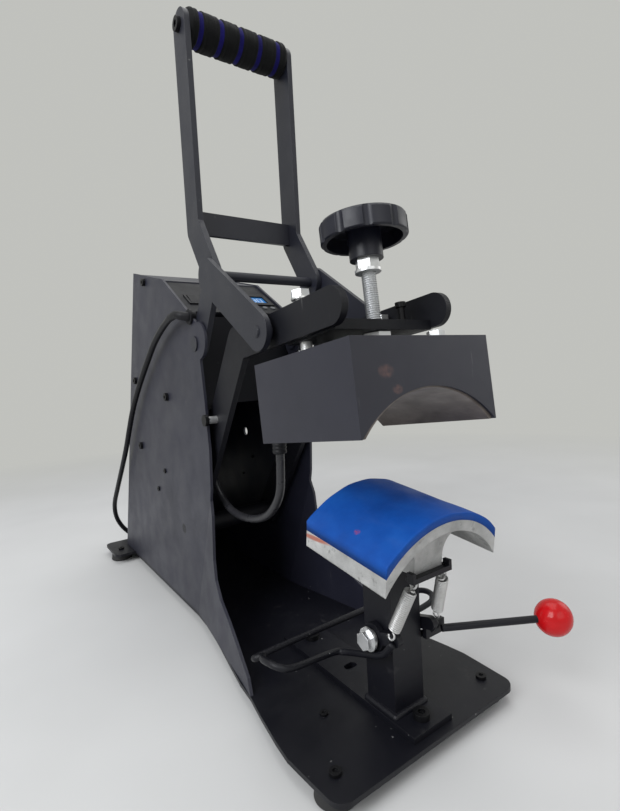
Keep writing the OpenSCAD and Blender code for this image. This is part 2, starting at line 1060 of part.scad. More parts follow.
module head_gland() {
    color([0.08, 0.08, 0.08])
        head_frame()
            translate([lead_x, head_d / 2, 12])
                rotate([-90, 0, 0]) {
                    translate([0, 0, -head_t - 0.2])
                        cylinder(h = head_t + 3, r = 5);
                    cylinder(h = 22, r = 7);
                    cylinder(h = 4, r = 9);
                }
}

// Pressure screw

module pressure_screw() {
    color([0.75, 0.75, 0.77])
        head_frame()
            translate([0, screw_y, head_h + 1.8])
                cylinder(h = knob_low - head_h + 12.2, r = screw_r);
}

module lock_nut() {
    color([0.7, 0.7, 0.72])
        head_frame()
            translate([0, screw_y, knob_low - 10.5])
                difference() {
                    union() {
                        cylinder(h = 2.5, r = 10.5);
                        cylinder(h = 10.5, d = 17 / cos(30), $fn = 6);
                    }
                    translate([0, 0, -1])
                        cylinder(h = 16, r = screw_r);
                }
}

module pressure_knob() {
    // Lobed knob, hollow under the rim, with a middle hub
    rim_low = 15;
    rim_top = rim_low + knob_rim_h;
    color([0.05, 0.05, 0.06])
        head_frame()
            translate([0, screw_y, knob_low])
                difference() {
                    union() {
                        difference() {
                            rotate_extrude($fn = 96)
                                polygon([
                                    [0, rim_low], [knob_r - 1, rim_low], [knob_r, rim_low + 1],
                                    [knob_r, rim_top - 2.5], [knob_r - 1, rim_top - 0.8],
                                    [knob_r - 3, rim_top], [knob_r - 14, rim_top + 1.2],
                                    [0, rim_top + 1.6]
                                ]);
                            translate([0, 0, rim_low - 1])
                                cylinder(h = knob_rim_h - 3, r = knob_r - 4.5);
                        }
                        cylinder(h = rim_top - 1, r = hub_r);
                    }
                    for (k = [0:lobes - 1])
                        rotate([0, 0, 360 * (k + 0.5) / lobes])
                            translate([knob_r + 3.4, 0, 8])
                                cylinder(h = 40, r = 5);
                    translate([0, 0, -1])
                        cylinder(h = 15.6, r = screw_r + 0.02);
                }
}

// Lower platen and post

module foot_plate() {
    color([0.08, 0.08, 0.09])
        difference() {
            translate([-foot_plate_w / 2, foot_plate_front, base_top])
                cube([foot_plate_w, foot_plate_back - foot_plate_front, foot_plate_t]);
            for (y = foot_bolts)
                translate([0, y, base_top - 1])
                    cylinder(h = foot_plate_t + 2, r = 4.1);
            for (x = [-2.5, 2.5])
                translate([x, -213, base_top - 1])
                    cylinder(h = foot_plate_t + 2, r = 4);
            translate([-2.5, -217, base_top - 1])
                cube([5, 8, foot_plate_t + 2]);
        }
}

module foot_plate_bolts() {
    color([0.07, 0.07, 0.08])
        for (y = foot_bolts)
            translate([0, y, foot_plate_top]) {
                socket_bolt(6.5, 5, 4, foot_plate_t + base_t + 6);
                translate([0, 0, -foot_plate_t - base_t - 5])
                    cylinder(h = 5, d = 13 / cos(30), $fn = 6);
            }
}

module post() {
    // Square tube with weld beads at its foot and bolt holes for the hold down
    bead = 3.2;
    color([0.09, 0.09, 0.1])
        difference() {
            union() {
                translate([-post_w / 2, post_y - post_w / 2, foot_plate_top])
                    cube([post_w, post_w, web_low - foot_plate_top]);
                for (s = [-1, 1]) {
                    translate([-post_w / 2, post_y + s * post_w / 2, foot_plate_top])
                        rod_x(0, post_w, bead);
                    translate([s * post_w / 2, post_y - post_w / 2, foot_plate_top])
                        rotate([-90, 0, 0])
                            cylinder(h = post_w, r = bead);
                    for (t = [-1, 1])
                        translate([s * post_w / 2, post_y + t * post_w / 2, foot_plate_top])
                            sphere(r = bead);
                }
            }
            translate([-post_w / 2 + post_wall, post_y - post_w / 2 + post_wall, foot_plate_top - 5])
                cube([post_w - 2 * post_wall, post_w - 2 * post_wall, 200]);
            translate([-60, post_y - 60, foot_plate_top - 20])
                cube([120, 120, 20]);
            at_yz(hub_pivot)
                rod_x(-60, 60, hub_bolt_r + 0.05);
        }
}

module arch_2d(r_in, r_out) {
    // Curved strip drawn in X and Z with the pad's crown at the origin
    difference() {
        translate([0, -pad_r])
            circle(r = r_out, $fn = 128);
        translate([0, -pad_r])
            circle(r = r_in, $fn = 128);
        for (s = [-1, 1])
            translate([s * (platen_half_w + 60) - 60, -2.5 * pad_r])
                square([120, 3 * pad_r]);
        translate([-platen_half_w - 1, -2.5 * pad_r])
            square([2 * platen_half_w + 2, 1.5 * pad_r]);
    }
}

module along_y(y0, y1) {
    translate([0, y1, 0])
        rotate([90, 0, 0])
            linear_extrude(height = y1 - y0)
                children();
}

module platen_casting() {
    // Curved shell on a web that flares into it with round fillets
    shell_r = pad_r - pad_t;
    inner_r = shell_r - shell_t;
    fillet = 16;
    fillet_z = -pad_r + sqrt(pow(inner_r - fillet, 2) - pow(web_w / 2 + fillet, 2));
    color([0.62, 0.62, 0.62])
        difference() {
            platen_frame() {
                along_y(-platen_depth / 2, platen_depth / 2)
                    arch_2d(inner_r, shell_r);
                along_y(web_front, web_back) {
                    difference() {
                        union() {
                            translate([-web_w / 2, -62])
                                square([web_w, 62 - pad_t - 1]);
                            both_sides()
                                translate([0, fillet_z])
                                    square([web_w / 2 + fillet * 0.9, -pad_t - 1 - fillet_z]);
                        }
                        both_sides()
                            translate([web_w / 2 + fillet, fillet_z])
                                circle(r = fillet);
                        difference() {
                            translate([-80, -60])
                                square([160, 80]);
                            translate([0, -pad_r])
                                circle(r = shell_r - 1, $fn = 128);
                        }
                    }
                }
            }
            translate([-60, -400, web_low - 60])
                cube([120, 200, 60]);
        }
}

module silicone_pad() {
    color([0.05, 0.2, 0.75])
        platen_frame()
            along_y(-platen_depth / 2, platen_depth / 2)
                arch_2d(pad_r - pad_t, pad_r);
}

// Hold down

module spring_bar() {
    // Flat bar with upturned hooks under the front of the web
    color([0.07, 0.07, 0.08])
        difference() {
            union() {
                translate([-spring_top_x - 4, spring_top[0] - 4, web_low - 4])
                    cube([2 * spring_top_x + 8, 9, 4]);
                both_sides()
                    translate([spring_top_x + 2, spring_top[0] - 4, web_low - 4])
                        cube([3, 6, 8]);
            }
            both_sides()
                translate([spring_top_x, spring_top[0], web_low - 6])
                    cylinder(h = 10, r = 1.6);
        }
}

module hold_down_bolt() {
    // Flanged bolt through the post, with a spacer under its head and a nut at the far end
    color([0.74, 0.74, 0.76])
        at_yz(hub_pivot) {
            rod_x(-hub_out - 5.5, hub_out + 9, hub_bolt_r);
            rod_x(-hub_out - 3.6, -hub_out - 0.3, hub_bolt_r + 2.5);
            rod_x(-hub_out - 5.5, -hub_out - 3.5, 9.3);
            translate([-hub_out - 10.5, 0, 0])
                rotate([0, 90, 0])
                    cylinder(h = 5.1, d = 13 / cos(30), $fn = 6);
            translate([hub_out + 0.3, 0, 0])
                rotate([0, 90, 0])
                    cylinder(h = 6.5, d = 13 / cos(30), $fn = 6);
        }
}

module hold_down_springs() {
    color([0.76, 0.76, 0.78])
        both_sides()
            translate([spring_top_x, spring_top[0], spring_top[1]])
                rotate([0, acos(spring_run[2] / spring_len), atan2(spring_run[1], spring_run[0])]) {
                    translate([0, 0, 4])
                        difference() {
                            cylinder(h = spring_len - 9, r = spring_r);
                            translate([0, 0, 1.2])
                                cylinder(h = spring_len - 11.4, r = spring_r - 1.3);
                        }
                    cylinder(h = 4.5, r = 0.9);
                    translate([0, 0, spring_len - 5.5])
                        cylinder(h = 5.5, r = 0.9);
                }
}

module hub_shape() {
    difference() {
        union() {
            leg_2d(hub_pivot, hub_arm, 10);
            translate(hub_pivot)
                circle(r = 11);
        }
        translate(hub_pivot)
            circle(r = hub_bolt_r + run_fit);
    }
}

module hub_left() {
    color([0.08, 0.08, 0.09])
        plate_x(-hub_out, hub_t)
            hub_shape();
}

module hub_right() {
    // The right hub carries a bent tab for the lever
    color([0.08, 0.08, 0.09]) {
        plate_x(hub_in, hub_t)
            hub_shape();
        translate([hub_in, lever_start[1] - 2, lever_start[2] - 5.5])
            cube([lever_start[0] + 1 - hub_in, 4, 11]);
    }
}

module bail_wire() {
    // One bent wire from the left hub round the back to the right hub
    n = len(bail_path);
    left = [for (p = bail_path) [-p[0], p[1], p[2]]];
    right = [for (i = [n - 1:-1:0]) bail_path[i]];
    color([0.08, 0.08, 0.09])
        tube_along(smooth_route(concat(left, right), 3), wire_r, 12);
}

module lever_rod() {
    color([0.08, 0.08, 0.09])
        rod_between([lever_start[0] - 6, lever_start[1] - 5, lever_start[2]], ball_mid, 3);
}

module lever_ball() {
    color([0.78, 0.05, 0.07])
        difference() {
            translate(ball_mid)
                sphere(r = ball_r, $fn = 96);
            translate(ball_mid)
                rotate([0, 90, atan2(lever_start[1] - 5 - ball_mid[1], lever_start[0] - 6 - ball_mid[0])])
                    cylinder(h = 40, r = 3.05);
            translate(ball_mid)
                sphere(r = 3.05);
        }
}

// Cords

module heater_lead() {
    color([0.35, 0.35, 0.36])
        tube_along(smooth_route(lead_route, 2), lead_r, 10);
}

module mains_cord() {
    // The run from the cabinet to the coil, and the run from the coil to the plug
    color([0.04, 0.04, 0.04]) {
        tube_along(smooth_route(cord_route, 2), cord_r, 8);
        tube_along(smooth_route(tail_route, 2), cord_r, 8);
    }
}

module cord_coil() {
    color([0.04, 0.04, 0.04])
        translate([coil_mid[0], coil_mid[1], coil_section_r])
            rotate_extrude($fn = 96)
                translate([coil_turn_r, 0])
                    circle(r = coil_section_r, $fn = 32);
}

module plug_body() {
    color([0.04, 0.04, 0.04])
        translate(plug_mid)
            difference() {
                union() {
                    rotate([0, 90, 0])
                        translate([0, 0, -24])
                            cylinder(h = 18, r1 = 8, r2 = 9);
                    translate([-8, -17, -13])
                        cube([30, 34, 26]);
                    translate([22, -21, -14])
                        cube([6, 42, 28]);
                }
                translate([-30, 0, -3])
                    rotate([0, 90, 0])
                        cylinder(h = 12, r = cord_r + 0.05);
            }
}

module plug_pins() {
    color([0.8, 0.65, 0.3])
        translate([plug_mid[0] + 28, plug_mid[1], plug_mid[2]]) {
            translate([0, -11 - 1.5, -3.2])
                cube([18, 3, 6.4]);
            translate([0, 11 - 1.5, -3.2])
                cube([18, 3, 6.4]);
            translate([0, -3, 6])
                cube([20, 6, 3.5]);
        }
}

base_plate();
rubber_feet();
side_plate_left();
side_plate_right();
cabinet_screw_set();
rear_cover();
top_cover();
control_box();
control_panel();
display_window();
display_bezel();
power_switch();
panel_keys();
cable_glands();
arm_pivot_shaft();
handle_pins();
handle_bar_left();
handle_bar_right();
handle_cross_bar();
knee_shaft();
grip_rod();
foam_grip();
grip_screws();
link_left();
link_right();
link_pins();
arm_left();
arm_right();
arm_tube();
cross_plate();
arm_bolts();
stop_screw();
head_cover();
heating_element();
insulation_pad();
head_studs();
guide_bolts();
thrust_nut();
head_gland();
pressure_screw();
lock_nut();
pressure_knob();
foot_plate();
foot_plate_bolts();
post();
platen_casting();
silicone_pad();
spring_bar();
hold_down_bolt();
hold_down_springs();
hub_left();
hub_right();
bail_wire();
lever_rod();
lever_ball();
heater_lead();
mains_cord();
cord_coil();
plug_body();
plug_pins();
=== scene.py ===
import math

import bmesh
import bpy
import numpy as np
from mathutils import Matrix, Vector


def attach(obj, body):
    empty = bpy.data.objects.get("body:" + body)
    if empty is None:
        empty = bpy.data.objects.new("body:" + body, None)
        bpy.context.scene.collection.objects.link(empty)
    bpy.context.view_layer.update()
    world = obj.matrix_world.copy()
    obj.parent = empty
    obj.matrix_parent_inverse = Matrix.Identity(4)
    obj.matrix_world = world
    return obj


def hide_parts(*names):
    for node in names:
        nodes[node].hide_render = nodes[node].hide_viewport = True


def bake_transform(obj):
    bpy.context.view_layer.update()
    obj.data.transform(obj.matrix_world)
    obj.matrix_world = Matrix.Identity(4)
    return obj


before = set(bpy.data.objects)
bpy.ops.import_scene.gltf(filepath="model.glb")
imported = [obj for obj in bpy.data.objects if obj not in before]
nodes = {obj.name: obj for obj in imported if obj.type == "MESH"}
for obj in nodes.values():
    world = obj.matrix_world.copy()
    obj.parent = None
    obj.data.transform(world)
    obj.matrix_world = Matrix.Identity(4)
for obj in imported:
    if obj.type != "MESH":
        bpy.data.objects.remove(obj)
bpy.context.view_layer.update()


# Camera: placed as the photo was taken

CAMERA_AT = (-0.2648, -0.5538, 0.2936)
YAW_PITCH_ROLL = (34.77, 3.79, 3.37)
FOCAL_PIXELS = 482.08
PHOTO_WIDTH = 620
SENSOR_WIDTH = 36


def add_camera():
    yaw, pitch, roll = (math.radians(a) for a in YAW_PITCH_ROLL)
    ahead = Vector((math.sin(yaw) * math.cos(pitch), math.cos(yaw) * math.cos(pitch), -math.sin(pitch)))
    level = Vector((math.cos(yaw), -math.sin(yaw), 0))
    down = ahead.cross(level)
    right = math.cos(roll) * level + math.sin(roll) * down
    up = math.sin(roll) * level - math.cos(roll) * down
    data = bpy.data.cameras.new("camera")
    data.sensor_fit = "HORIZONTAL"
    data.sensor_width = SENSOR_WIDTH
    data.lens = SENSOR_WIDTH * FOCAL_PIXELS / PHOTO_WIDTH
    camera = bpy.data.objects.new("camera", data)
    bpy.context.scene.collection.objects.link(camera)
    turn = Matrix((right, up, -ahead)).transposed()
    camera.matrix_world = Matrix.Translation(CAMERA_AT) @ turn.to_4x4()
    bpy.context.scene.camera = camera


add_camera()


# Mesh helpers

def link(obj):
    bpy.context.scene.collection.objects.link(obj)
    return obj


def clean_mesh(mesh, merge=0.0):
    """Turns all faces outward, after merging vertices closer than merge."""
    bm = bmesh.new()
    bm.from_mesh(mesh)
    if merge:
        bmesh.ops.remove_doubles(bm, verts=bm.verts, dist=merge)
    bmesh.ops.recalc_face_normals(bm, faces=bm.faces)
    bm.to_mesh(mesh)
    bm.free()


def mesh_object(name, verts, faces, smooth=True):
    mesh = bpy.data.meshes.new(name)
    mesh.from_pydata([tuple(v) for v in verts], [], faces)
    mesh.update()
    clean_mesh(mesh)
    for p in mesh.polygons:
        p.use_smooth = smooth
    return link(bpy.data.objects.new(name, mesh))


def smooth_route(points, n):
    """Points on a smooth curve through the given points, n for each stretch."""
    p = [np.array(q, float) for q in points]
    out = []
    for i in range(len(p) - 1):
        a, b, c, d = p[max(i - 1, 0)], p[i], p[i + 1], p[min(i + 2, len(p) - 1)]
        for k in range(n):
            u = k / n
            out.append(0.5 * (2 * b + (c - a) * u + (2 * a - 5 * b + 4 * c - d) * u * u
                              + (3 * b - a - 3 * c + d) * u ** 3))
    out.append(p[-1])
    return out


FIRST_SIDE = (0.9, 0.1, 0.4)


def route_frames(path):
    """Tangent and two sides at each point, turning as little as possible."""
    path = [np.array(q, float) for q in path]
    n = len(path)
    tangents = []
    for i in range(n):
        t = path[min(i + 1, n - 1)] - path[max(i - 1, 0)]
        tangents.append(t / np.linalg.norm(t))
    side = np.array(FIRST_SIDE)
    out = []
    for t in tangents:
        side = side - np.dot(side, t) * t
        side /= np.linalg.norm(side)
        out.append((t, side, np.cross(t, side)))
    return out


def tube(name, path, radii, sides=20):
    """A closed smooth tube along a path, with one radius for each point."""
    verts, faces = [], []
    n = len(path)
    for q, r, (_, a, b) in zip(path, radii, route_frames(path)):
        for k in range(sides):
            w = 2 * math.pi * k / sides
            verts.append(np.array(q, float) + r * (math.cos(w) * a + math.sin(w) * b))
    for i in range(n - 1):
        for k in range(sides):
            m = (k + 1) % sides
            faces.append((i * sides + k, i * sides + m, (i + 1) * sides + m, (i + 1) * sides + k))
    faces.append(tuple(range(sides)))
    faces.append(tuple((n - 1) * sides + k for k in range(sides)))
    return mesh_object(name, verts, faces)


def lathe(name, profile, place, sides=96, wobble=None):
    """Revolves (radius, height) about a local axis and puts it in place."""
    verts, faces = [], []
    n = len(profile)
    for k in range(sides):
        w = 2 * math.pi * k / sides
        for j, (r, h) in enumerate(profile):
            if wobble:
                r = wobble(r, h, w)
            verts.append(place @ Vector((r * math.cos(w), r * math.sin(w), h)))
    for k in range(sides):
        m = (k + 1) % sides
        for j in range(n - 1):
            faces.append((k * n + j, m * n + j, m * n + j + 1, k * n + j + 1))
    obj = mesh_object(name, verts, faces)
    clean_mesh(obj.data, 1e-6)
    return obj


def metres(points):
    """Route points given in millimetres, as arrays in metres."""
    return [np.array(p) / 1000 for p in points]


# Frames of the tilted parts, as in the construction

def tilted(origin, degrees):
    return Matrix.Translation(origin) @ Matrix.Rotation(math.radians(degrees), 4, "X")


HEAD = tilted((0, -0.2643, 0.2438), -5.9)
SCREW_Y = -0.013
PLATEN = tilted((0, -0.2899, 0.1955), 7.6)


# Materials

SOFT_EDGE = 0.0006
TARNISH = (0.6, 0.52, 0.4)


def new_material(name):
    material = bpy.data.materials.new(name)
    material.use_nodes = True
    tree = material.node_tree
    return material, tree, tree.nodes["Principled BSDF"]


def add(tree, kind, **values):
    node = tree.nodes.new(kind)
    for key, value in values.items():
        if key in node.inputs:
            node.inputs[key].default_value = value
        else:
            setattr(node, key, value)
    return node


def coords(tree, scale=(1, 1, 1)):
    where = add(tree, "ShaderNodeTexCoord")
    mapping = add(tree, "ShaderNodeMapping")
    mapping.inputs["Scale"].default_value = scale
    tree.links.new(where.outputs["Object"], mapping.inputs["Vector"])
    return mapping.outputs["Vector"]


def noise(tree, vector, scale, detail=3, rough=0.55):
    node = add(tree, "ShaderNodeTexNoise", Scale=scale, Detail=detail, Roughness=rough)
    tree.links.new(vector, node.inputs["Vector"])
    return node.outputs["Fac"]


def ramp(tree, fac, stops):
    node = add(tree, "ShaderNodeValToRGB")
    elements = node.color_ramp.elements
    while len(elements) < len(stops):
        elements.new(0.5)
    for element, (at, value) in zip(elements, stops):
        element.position = at
        element.color = value if len(value) == 4 else (*value, 1)
    tree.links.new(fac, node.inputs["Fac"])
    return node.outputs["Color"]


def grey(v):
    return (v, v, v, 1)


def mix(tree, fac, a, b, kind="MIX"):
    node = add(tree, "ShaderNodeMix", data_type="RGBA", blend_type=kind)
    if isinstance(fac, (int, float)):
        node.inputs[0].default_value = fac
    else:
        tree.links.new(fac, node.inputs[0])
    for socket, value in ((node.inputs[6], a), (node.inputs[7], b)):
        if isinstance(value, tuple):
            socket.default_value = value if len(value) == 4 else (*value, 1)
        else:
            tree.links.new(value, socket)
    return node.outputs[2]


def bump(tree, shader, height, strength, distance, edge=0.0):
    node = add(tree, "ShaderNodeBump", Strength=strength, Distance=distance)
    tree.links.new(height, node.inputs["Height"])
    if edge:
        soft = add(tree, "ShaderNodeBevel", Radius=edge)
        soft.samples = 4
        tree.links.new(soft.outputs["Normal"], node.inputs["Normal"])
    tree.links.new(node.outputs["Normal"], shader.inputs["Normal"])


def clouds(tree, fac, base, low, high, ends=(0.3, 0.7)):
    """The base colour, times low where the noise is low and times high where it is high."""
    dim, bright = tuple(c * low for c in base), tuple(c * high for c in base)
    return ramp(tree, fac, [(ends[0], dim), (ends[1], bright)])


def powder_coat(name, base, rough, dust, worn=0.0, shine=0.5):
    """Fine grained powder coat with dust specks and faint scratches, and pale rubbed spots if worn."""
    material, tree, shader = new_material(name)
    v = coords(tree)
    tone = clouds(tree, noise(tree, v, 9, 4), base, 0.86, 1.16)
    spot = noise(tree, v, 230, 2, 0.5)
    specks = ramp(tree, spot, [(0.735, grey(0)), (0.76, grey(1))])
    patch = ramp(tree, noise(tree, v, 22, 2), [(0.5, grey(0)), (0.68, grey(dust))])
    dusty = mix(tree, 1.0, specks, patch, "MULTIPLY")
    tone = mix(tree, dusty, tone, (0.36, 0.36, 0.35))
    long = coords(tree, (1, 1, 0.08))
    line = ramp(tree, noise(tree, long, 420, 1), [(0.72, grey(0)), (0.75, grey(1))])
    where = ramp(tree, noise(tree, v, 14, 1), [(0.6, grey(0)), (0.72, grey(0.35))])
    tone = mix(tree, mix(tree, 1.0, line, where, "MULTIPLY"), tone, (0.17, 0.17, 0.17))
    if worn:
        rub = ramp(tree, noise(tree, v, 46, 4, 0.6), [(0.66, grey(0)), (0.8, grey(worn))])
        tone = mix(tree, rub, tone, (0.3, 0.29, 0.28))
    tree.links.new(tone, shader.inputs["Base Color"])
    gloss = ramp(tree, noise(tree, v, 30, 4), [(0.3, grey(rough - 0.07)), (0.75, grey(rough + 0.1))])
    tree.links.new(gloss, shader.inputs["Roughness"])
    shader.inputs["Specular IOR Level"].default_value = shine
    bump(tree, shader, noise(tree, v, 2600, 2), 0.32, 0.0004, SOFT_EDGE)
    return material


def plated(name, base, rough, yellow):
    """Bright plating: even and pale, with faint warm tarnish and dull patches."""
    material, tree, shader = new_material(name)
    v = coords(tree)
    warm = tuple(b * (1 - yellow) + w * yellow for b, w in zip(base, TARNISH))
    tone = ramp(tree, noise(tree, v, 60, 3), [(0.4, base), (0.85, warm)])
    dull = ramp(tree, noise(tree, v, 240, 3), [(0.56, grey(0)), (0.8, grey(0.35))])
    tone = mix(tree, dull, tone, tuple(b * 0.55 for b in base))
    tree.links.new(tone, shader.inputs["Base Color"])
    shader.inputs["Metallic"].default_value = 0.85
    gloss = ramp(tree, noise(tree, v, 130, 3), [(0.3, grey(rough - 0.04)), (0.75, grey(rough + 0.12))])
    tree.links.new(gloss, shader.inputs["Roughness"])
    bump(tree, shader, noise(tree, v, 1400, 2), 0.08, 0.0001, 0.0003)
    return material


def moulded(name, base, rough, grain=1500, strength=0.25, edge=SOFT_EDGE, shine=0.5):
    """Plain moulded or painted skin with a fine grain; edge is the radius that softens its edges."""
    material, tree, shader = new_material(name)
    v = coords(tree)
    tone = clouds(tree, noise(tree, v, 60, 3), base, 0.88, 1.12)
    tree.links.new(tone, shader.inputs["Base Color"])
    gloss = ramp(tree, noise(tree, v, 120, 3), [(0.3, grey(rough - 0.05)), (0.7, grey(rough + 0.08))])
    tree.links.new(gloss, shader.inputs["Roughness"])
    shader.inputs["Specular IOR Level"].default_value = shine
    bump(tree, shader, noise(tree, v, grain, 2), strength, 0.0003, edge)
    return material


def cast_alloy(name, base):
    """Sand cast alloy: grain, dark smudges, a few bright spots and a faint red line by the pad."""
    material, tree, shader = new_material(name)
    v = coords(tree)
    dark, bright = tuple(c * 0.62 for c in base), tuple(c * 1.25 for c in base)
    tone = ramp(tree, noise(tree, v, 42, 5, 0.6), [(0.3, dark), (0.62, base), (0.8, bright)])
    smudge = ramp(tree, noise(tree, v, 120, 4, 0.65), [(0.58, grey(0)), (0.72, grey(0.7))])
    tone = mix(tree, smudge, tone, (0.13, 0.13, 0.125))
    for at, size in CAST_MARKS:
        tone = mix(tree, soft_spot(tree, at, size), tone, (0.5, 0.2, 0.15))
    tree.links.new(tone, shader.inputs["Base Color"])
    shader.inputs["Metallic"].default_value = 0.55
    gloss = ramp(tree, noise(tree, v, 90, 3), [(0.3, grey(0.45)), (0.7, grey(0.7))])
    tree.links.new(gloss, shader.inputs["Roughness"])
    bump(tree, shader, noise(tree, v, 760, 4, 0.6), 0.5, 0.0007, 0.0007)
    return material


# Rub marks: the middle of each, and its reach along the three axes

HEAD_MARKS = [
    ((-0.042, -0.3226, 0.2923), (0.008, 0.026, 0.0053)),
    ((-0.0332, -0.3239, 0.2799), (0.0055, 0.018, 0.0037)),
]
PAD_MARKS = [((-0.0492, -0.2927, 0.1789), (0.0026, 0.0032, 0.0026))]
CAST_MARKS = [((-0.0585, -0.251, 0.166), (0.004, 0.024, 0.0024))]


def soft_spot(tree, at, size):
    """A soft ellipsoid of value one around a point of the part, zero elsewhere."""
    where = add(tree, "ShaderNodeTexCoord")
    centre = add(tree, "ShaderNodeMapping")
    centre.inputs["Location"].default_value = tuple(-a / b for a, b in zip(at, size))
    centre.inputs["Scale"].default_value = tuple(1 / b for b in size)
    tree.links.new(where.outputs["Object"], centre.inputs["Vector"])
    ball = add(tree, "ShaderNodeTexGradient", gradient_type="SPHERICAL")
    tree.links.new(centre.outputs["Vector"], ball.inputs["Vector"])
    return ramp(tree, ball.outputs["Fac"], [(0.0, grey(0)), (0.45, grey(1))])


def silicone(name):
    """Blue silicone sponge: cloudy matte skin, dull streaks and a faint red rub mark."""
    material, tree, shader = new_material(name)
    v = coords(tree)
    blue, deep, pale = (0.002, 0.066, 0.335), (0.002, 0.050, 0.26), (0.006, 0.095, 0.41)
    tone = ramp(tree, noise(tree, v, 26, 5, 0.62), [(0.28, deep), (0.5, blue), (0.76, pale)])
    streak = ramp(tree, noise(tree, coords(tree, (1, 0.25, 1)), 75, 4), [(0.55, grey(0)), (0.8, grey(0.45))])
    tone = mix(tree, streak, tone, (0.025, 0.085, 0.33))
    cloud = ramp(tree, noise(tree, v, 420, 3, 0.65), [(0.4, grey(0.05)), (0.62, grey(0.6))])
    for at, size in PAD_MARKS:
        soft = soft_spot(tree, at, size)
        tone = mix(tree, mix(tree, 1.0, soft, cloud, "MULTIPLY"), tone, (0.42, 0.04, 0.05))
    tree.links.new(tone, shader.inputs["Base Color"])
    gloss = ramp(tree, noise(tree, v, 40, 3), [(0.3, grey(0.52)), (0.7, grey(0.7))])
    tree.links.new(gloss, shader.inputs["Roughness"])
    shader.inputs["Specular IOR Level"].default_value = 0.22
    bump(tree, shader, noise(tree, v, 1500, 3), 0.25, 0.0004)
    return material


def foam(name, base):
    """Dark foam with fine pores and a slight sheen."""
    material, tree, shader = new_material(name)
    v = coords(tree)
    cell = add(tree, "ShaderNodeTexVoronoi", Scale=1500.0)
    tree.links.new(v, cell.inputs["Vector"])
    pores = ramp(tree, cell.outputs["Distance"], [(0.0, grey(0)), (0.45, grey(1))])
    tone = clouds(tree, noise(tree, v, 70, 4), base, 0.75, 1.35, (0.3, 0.75))
    tone = mix(tree, ramp(tree, pores, [(0.0, grey(0.35)), (0.6, grey(0))]), tone, (0.004, 0.004, 0.005))
    tree.links.new(tone, shader.inputs["Base Color"])
    shader.inputs["Roughness"].default_value = 0.85
    shader.inputs["Specular IOR Level"].default_value = 0.12
    shader.inputs["Sheen Weight"].default_value = 0.06
    shader.inputs["Sheen Roughness"].default_value = 0.5
    bump(tree, shader, pores, 0.6, 0.0005)
    return material


def scorched(name):
    """The element's hot face: brown grey with burnt clouds along its length."""
    material, tree, shader = new_material(name)
    v = coords(tree, (1, 0.5, 1))
    dark, brown, pale = (0.055, 0.047, 0.043), (0.15, 0.128, 0.115), (0.27, 0.235, 0.215)
    tone = ramp(tree, noise(tree, v, 24, 5, 0.6), [(0.25, dark), (0.5, brown), (0.75, pale)])
    burnt = ramp(tree, noise(tree, v, 60, 4), [(0.55, grey(0)), (0.75, grey(0.6))])
    tone = mix(tree, burnt, tone, (0.05, 0.04, 0.036))
    tree.links.new(tone, shader.inputs["Base Color"])
    shader.inputs["Metallic"].default_value = 0.35
    gloss = ramp(tree, noise(tree, v, 50, 3), [(0.3, grey(0.34)), (0.7, grey(0.55))])
    tree.links.new(gloss, shader.inputs["Roughness"])
    bump(tree, shader, noise(tree, v, 500, 3), 0.2, 0.0003)
    return material


def head_paint(name):
    """The head's powder coat, with two faint reddish rub marks low on its front."""
    material = powder_coat(name, (0.0175, 0.018, 0.029), 0.46, 0.35)
    tree = material.node_tree
    shader = tree.nodes["Principled BSDF"]
    tone = shader.inputs["Base Color"].links[0].from_socket
    cloud = ramp(tree, noise(tree, coords(tree), 140, 4, 0.65), [(0.38, grey(0.1)), (0.6, grey(0.75))])
    for at, size in HEAD_MARKS:
        soft = soft_spot(tree, at, size)
        tone = mix(tree, mix(tree, 1.0, soft, cloud, "MULTIPLY"), tone, (0.14, 0.075, 0.065))
    tree.links.new(tone, shader.inputs["Base Color"])
    return material


